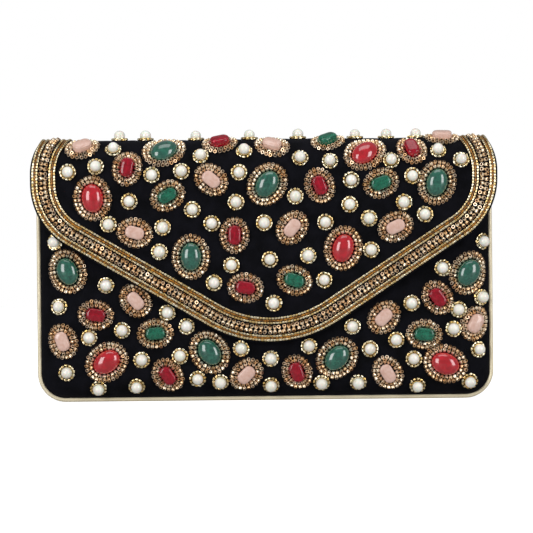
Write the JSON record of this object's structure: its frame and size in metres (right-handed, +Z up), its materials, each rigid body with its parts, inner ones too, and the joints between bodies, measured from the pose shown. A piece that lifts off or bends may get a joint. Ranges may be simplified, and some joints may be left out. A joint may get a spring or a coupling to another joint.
{
  "type": "clutch purse",
  "caption": "Boxed velvet evening clutch with a pointed fold-over flap, a beaded border, gold piping, and cabochons, glass beads and pearls in seed bead rings.",
  "frame": {"origin": "centre of the base's underside, between the two rows of piping", "axes": "+X along the width, to the right as seen from the front; +Y from front to back, so the front and the flap face -Y; +Z up"},
  "size_m": [0.2676, 0.0578, 0.1568],
  "materials": {
    "velvet": "deep pile, matt",
    "board": "bare, inside the panels",
    "lining": "satin",
    "wadding": "soft, inside the gusset",
    "piping": "champagne gold coating, satin",
    "snap_metal": "polished",
    "amber_thread": "glossy thread",
    "topaz_beads": "copper-pink gold seed beads",
    "gold_beads": "pale gold metallic seed beads",
    "red_cabochon": "opaque resin, polished",
    "green_cabochon": "opaque resin, polished",
    "red_bead": "translucent resin, polished",
    "green_bead": "translucent resin, polished",
    "pink_bead": "cloudy resin, polished",
    "pearl": "nacre"
  },
  "bodies": {
    "body": {"front_velvet": "velvet", "front_board": "board", "front_lining": "lining", "back_velvet": "velvet", "back_board": "board", "back_lining": "lining", "left_gusset": "velvet", "right_gusset": "velvet", "base_gusset": "velvet", "gusset_wadding": "wadding", "gusset_board": "board", "gusset_lining": "lining", "front_piping": "piping", "back_piping": "piping", "slip_pocket": "lining", "snap_socket": "snap_metal", "snap_socket_washer": "snap_metal", "body_red_cabochons": "red_cabochon", "body_green_cabochons": "green_cabochon", "body_red_beads": "red_bead", "body_green_beads": "green_bead", "body_pink_beads": "pink_bead", "body_cabochon_rings": "topaz_beads", "body_bead_rings": "topaz_beads", "body_pearls": "pearl", "body_pearl_rings": "gold_beads"},
    "flap": {"flap_velvet": "velvet", "flap_board": "board", "flap_lining": "lining", "snap_stud": "snap_metal", "snap_stud_plate": "snap_metal", "border_edge_row": "gold_beads", "border_outer_thread": "amber_thread", "border_outer_row": "gold_beads", "border_ladder": "topaz_beads", "border_inner_row": "gold_beads", "border_inner_thread": "amber_thread", "border_field_row": "gold_beads", "flap_red_cabochons": "red_cabochon", "flap_green_cabochons": "green_cabochon", "flap_red_beads": "red_bead", "flap_green_beads": "green_bead", "flap_pink_beads": "pink_bead", "flap_cabochon_rings": "topaz_beads", "flap_bead_rings": "topaz_beads", "flap_pearls": "pearl", "flap_pearl_rings": "gold_beads"}
  },
  "joints": [
    {"name": "flap_hinge", "type": "hinge", "parent": "body", "child": "flap", "pos_m": [0, 0.0215, 0.1305], "axis": [-1, 0, 0], "range_deg": [0, 150]}
  ]
}
